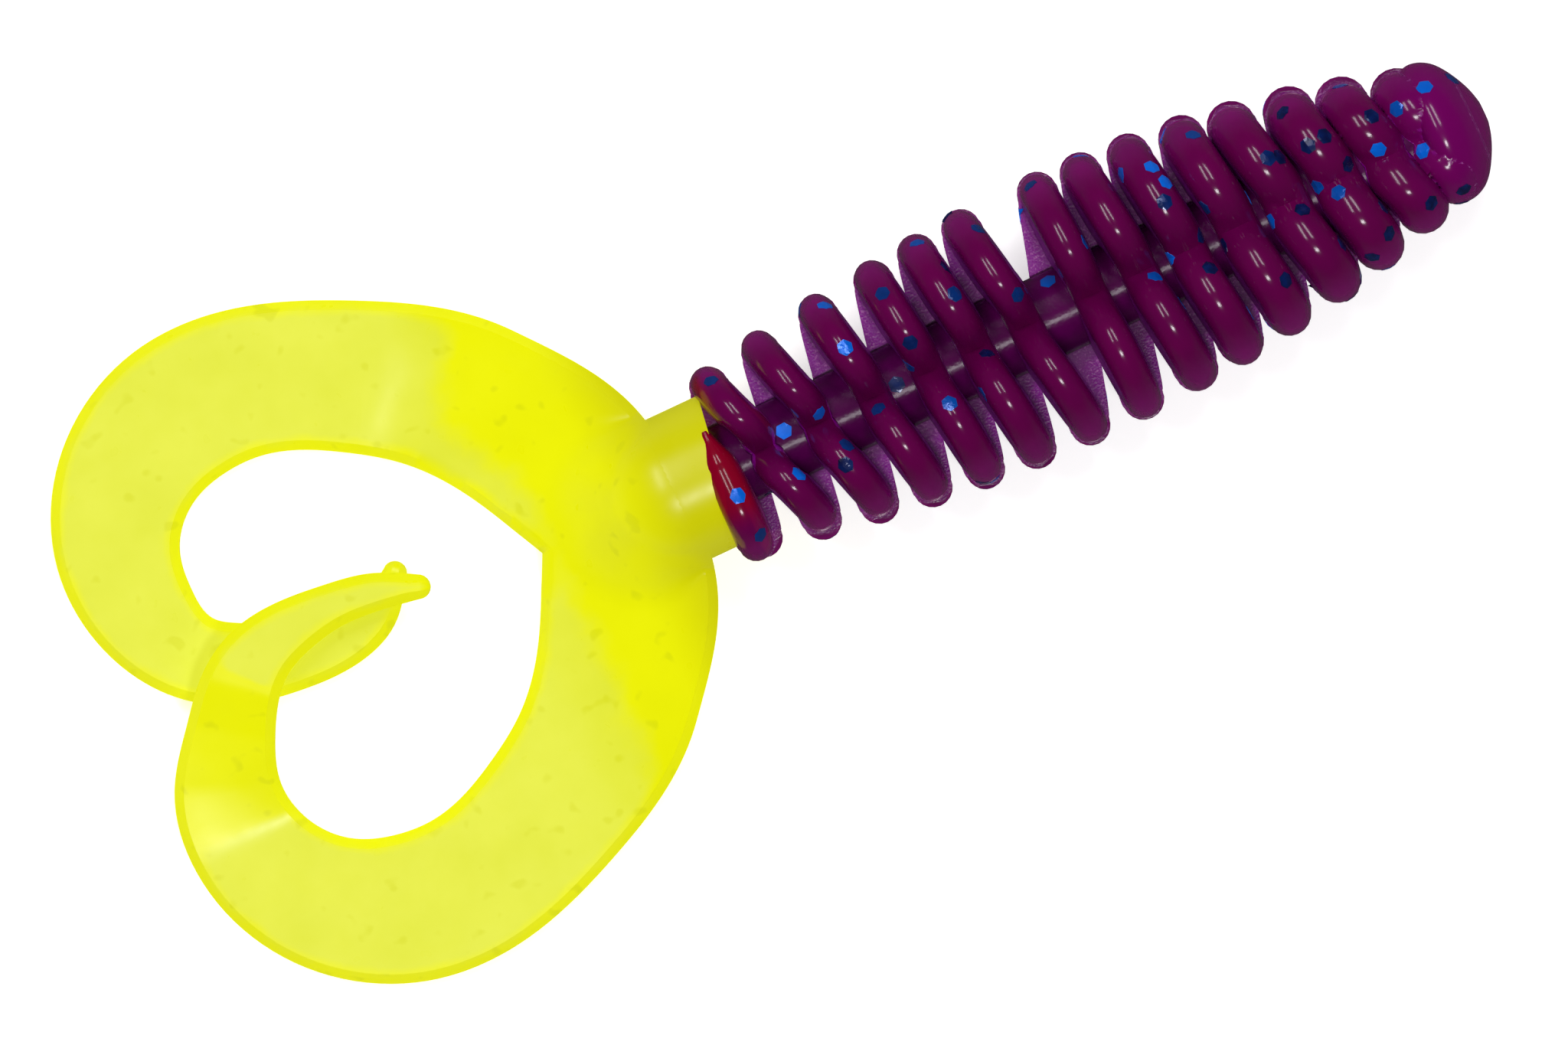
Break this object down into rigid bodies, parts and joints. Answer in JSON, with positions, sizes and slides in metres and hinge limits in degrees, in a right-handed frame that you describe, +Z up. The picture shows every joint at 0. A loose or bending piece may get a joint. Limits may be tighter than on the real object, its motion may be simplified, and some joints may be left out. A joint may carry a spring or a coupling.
{
  "type": "soft plastic worm",
  "caption": "Ribbed soft plastic grub with a translucent glitter trunk that bends turn by turn and two flat curled tails that lift and sway.",
  "frame": {"origin": "centre of the flat nose, on the trunk's axis", "axes": "+X out of the nose along the trunk, +Z up as it lies, +Y to the left"},
  "size_m": [0.076, 0.0363, 0.0107],
  "materials": {
    "trunk_plastic": "translucent purple soft plastic with blue glitter, polished crests and satin flanks",
    "tail_plastic": "fluorescent yellow soft plastic, smooth and slightly glossy"
  },
  "bodies": {
    "head": {"head": "trunk_plastic"},
    "trunk_turn_01": {"trunk_turn_01": "trunk_plastic"},
    "trunk_turn_02": {"trunk_turn_02": "trunk_plastic"},
    "trunk_turn_03": {"trunk_turn_03": "trunk_plastic"},
    "trunk_turn_04": {"trunk_turn_04": "trunk_plastic"},
    "trunk_turn_05": {"trunk_turn_05": "trunk_plastic"},
    "trunk_turn_06": {"trunk_turn_06": "trunk_plastic"},
    "trunk_turn_07": {"trunk_turn_07": "trunk_plastic"},
    "trunk_turn_08": {"trunk_turn_08": "trunk_plastic"},
    "trunk_turn_09": {"trunk_turn_09": "trunk_plastic"},
    "trunk_turn_10": {"trunk_turn_10": "trunk_plastic"},
    "trunk_turn_11": {"trunk_turn_11": "trunk_plastic"},
    "trunk_turn_12": {"trunk_turn_12": "trunk_plastic"},
    "trunk_turn_13": {"trunk_turn_13": "trunk_plastic"},
    "tail_stub": {"tail_stub": "tail_plastic"},
    "tail_fork": {"tail_fork": "tail_plastic"},
    "left_tail_root": {"left_tail_root": "tail_plastic"},
    "left_tail_bend": {"left_tail_bend": "tail_plastic"},
    "left_tail_tip": {"left_tail_tip": "tail_plastic"},
    "right_tail_root": {"right_tail_root": "tail_plastic"},
    "right_tail_bend": {"right_tail_bend": "tail_plastic"},
    "right_tail_tip": {"right_tail_tip": "tail_plastic"}
  },
  "joints": [
    {"name": "trunk_bend", "type": "hinge", "parent": "head", "child": "trunk_turn_01", "pos_m": [-0.00491, 0, 0], "axis": [0, 0, 1], "range_deg": [-6, 6], "stiffness_Nm_per_rad": 0.004},
    {"name": "trunk_bend_02", "type": "hinge", "parent": "trunk_turn_01", "child": "trunk_turn_02", "pos_m": [-0.0078, 0, 0], "axis": [0, 0, 1], "range_deg": [-6, 6], "stiffness_Nm_per_rad": 0.004},
    {"name": "trunk_bend_03", "type": "hinge", "parent": "trunk_turn_02", "child": "trunk_turn_03", "pos_m": [-0.01069, 0, 0], "axis": [0, 0, 1], "range_deg": [-6, 6], "stiffness_Nm_per_rad": 0.004},
    {"name": "trunk_bend_04", "type": "hinge", "parent": "trunk_turn_03", "child": "trunk_turn_04", "pos_m": [-0.01358, 0, 0], "axis": [0, 0, 1], "range_deg": [-6, 6], "stiffness_Nm_per_rad": 0.004},
    {"name": "trunk_bend_05", "type": "hinge", "parent": "trunk_turn_04", "child": "trunk_turn_05", "pos_m": [-0.01647, 0, 0], "axis": [0, 0, 1], "range_deg": [-6, 6], "stiffness_Nm_per_rad": 0.004},
    {"name": "trunk_bend_06", "type": "hinge", "parent": "trunk_turn_05", "child": "trunk_turn_06", "pos_m": [-0.01936, 0, 0], "axis": [0, 0, 1], "range_deg": [-6, 6], "stiffness_Nm_per_rad": 0.004},
    {"name": "trunk_bend_07", "type": "hinge", "parent": "trunk_turn_06", "child": "trunk_turn_07", "pos_m": [-0.02225, 0, 0], "axis": [0, 0, 1], "range_deg": [-6, 6], "stiffness_Nm_per_rad": 0.004},
    {"name": "trunk_bend_08", "type": "hinge", "parent": "trunk_turn_07", "child": "trunk_turn_08", "pos_m": [-0.02514, 0, 0], "axis": [0, 0, 1], "range_deg": [-6, 6], "stiffness_Nm_per_rad": 0.004},
    {"name": "trunk_bend_09", "type": "hinge", "parent": "trunk_turn_08", "child": "trunk_turn_09", "pos_m": [-0.02803, 0, 0], "axis": [0, 0, 1], "range_deg": [-6, 6], "stiffness_Nm_per_rad": 0.004},
    {"name": "trunk_bend_10", "type": "hinge", "parent": "trunk_turn_09", "child": "trunk_turn_10", "pos_m": [-0.03092, 0, 0], "axis": [0, 0, 1], "range_deg": [-6, 6], "stiffness_Nm_per_rad": 0.004},
    {"name": "trunk_bend_11", "type": "hinge", "parent": "trunk_turn_10", "child": "trunk_turn_11", "pos_m": [-0.03381, 0, 0], "axis": [0, 0, 1], "range_deg": [-6, 6], "stiffness_Nm_per_rad": 0.004},
    {"name": "trunk_bend_12", "type": "hinge", "parent": "trunk_turn_11", "child": "trunk_turn_12", "pos_m": [-0.0367, 0, 0], "axis": [0, 0, 1], "range_deg": [-6, 6], "stiffness_Nm_per_rad": 0.004},
    {"name": "trunk_bend_13", "type": "hinge", "parent": "trunk_turn_12", "child": "trunk_turn_13", "pos_m": [-0.03959, 0, 0], "axis": [0, 0, 1], "range_deg": [-6, 6], "stiffness_Nm_per_rad": 0.004},
    {"name": "trunk_bend_14", "type": "hinge", "parent": "trunk_turn_13", "child": "tail_stub", "pos_m": [-0.04248, 0, 0], "axis": [0, 0, 1], "range_deg": [-6, 6], "stiffness_Nm_per_rad": 0.004},
    {"name": "tail_kick", "type": "hinge", "parent": "tail_stub", "child": "tail_fork", "pos_m": [-0.04578, 0, 0.0039], "axis": [0, 1, 0], "range_deg": [0, 40], "stiffness_Nm_per_rad": 0.004},
    {"name": "left_tail_sway", "type": "hinge", "parent": "tail_fork", "child": "left_tail_root", "pos_m": [-0.05011, 0.01157, -0.00183], "axis": [0, 0, -1], "range_deg": [0, 15], "stiffness_Nm_per_rad": 0.004},
    {"name": "left_bend_sway", "type": "hinge", "parent": "left_tail_root", "child": "left_tail_bend", "pos_m": [-0.06581, 0.0185, -0.0043], "axis": [0, 0, -1], "range_deg": [0, 9], "stiffness_Nm_per_rad": 0.004},
    {"name": "left_tip_sway", "type": "hinge", "parent": "left_tail_bend", "child": "left_tail_tip", "pos_m": [-0.06988, 0.00779, -0.0043], "axis": [0, 0, -1], "range_deg": [-9, 0], "stiffness_Nm_per_rad": 0.004},
    {"name": "right_tail_sway", "type": "hinge", "parent": "tail_fork", "child": "right_tail_root", "pos_m": [-0.05011, -0.01174, -0.00183], "axis": [0, 0, 1], "range_deg": [0, 15], "stiffness_Nm_per_rad": 0.004},
    {"name": "right_bend_sway", "type": "hinge", "parent": "right_tail_root", "child": "right_tail_bend", "pos_m": [-0.06581, -0.01774, -0.0043], "axis": [0, 0, 1], "range_deg": [0, 9], "stiffness_Nm_per_rad": 0.004},
    {"name": "right_tip_sway", "type": "hinge", "parent": "right_tail_bend", "child": "right_tail_tip", "pos_m": [-0.06988, -0.00678, -0.0043], "axis": [0, 0, 1], "range_deg": [-9, 0], "stiffness_Nm_per_rad": 0.004}
  ],
  "couplings": [
    {"joint": "trunk_bend_02", "follows": "trunk_bend", "ratio": 1},
    {"joint": "trunk_bend_03", "follows": "trunk_bend", "ratio": 1},
    {"joint": "trunk_bend_04", "follows": "trunk_bend", "ratio": 1},
    {"joint": "trunk_bend_05", "follows": "trunk_bend", "ratio": 1},
    {"joint": "trunk_bend_06", "follows": "trunk_bend", "ratio": 1},
    {"joint": "trunk_bend_07", "follows": "trunk_bend", "ratio": 1},
    {"joint": "trunk_bend_08", "follows": "trunk_bend", "ratio": 1},
    {"joint": "trunk_bend_09", "follows": "trunk_bend", "ratio": 1},
    {"joint": "trunk_bend_10", "follows": "trunk_bend", "ratio": 1},
    {"joint": "trunk_bend_11", "follows": "trunk_bend", "ratio": 1},
    {"joint": "trunk_bend_12", "follows": "trunk_bend", "ratio": 1},
    {"joint": "trunk_bend_13", "follows": "trunk_bend", "ratio": 1},
    {"joint": "trunk_bend_14", "follows": "trunk_bend", "ratio": 1},
    {"joint": "left_bend_sway", "follows": "left_tail_sway", "ratio": 0.6},
    {"joint": "left_tip_sway", "follows": "left_tail_sway", "ratio": -0.6},
    {"joint": "right_bend_sway", "follows": "right_tail_sway", "ratio": 0.6},
    {"joint": "right_tip_sway", "follows": "right_tail_sway", "ratio": -0.6}
  ]
}
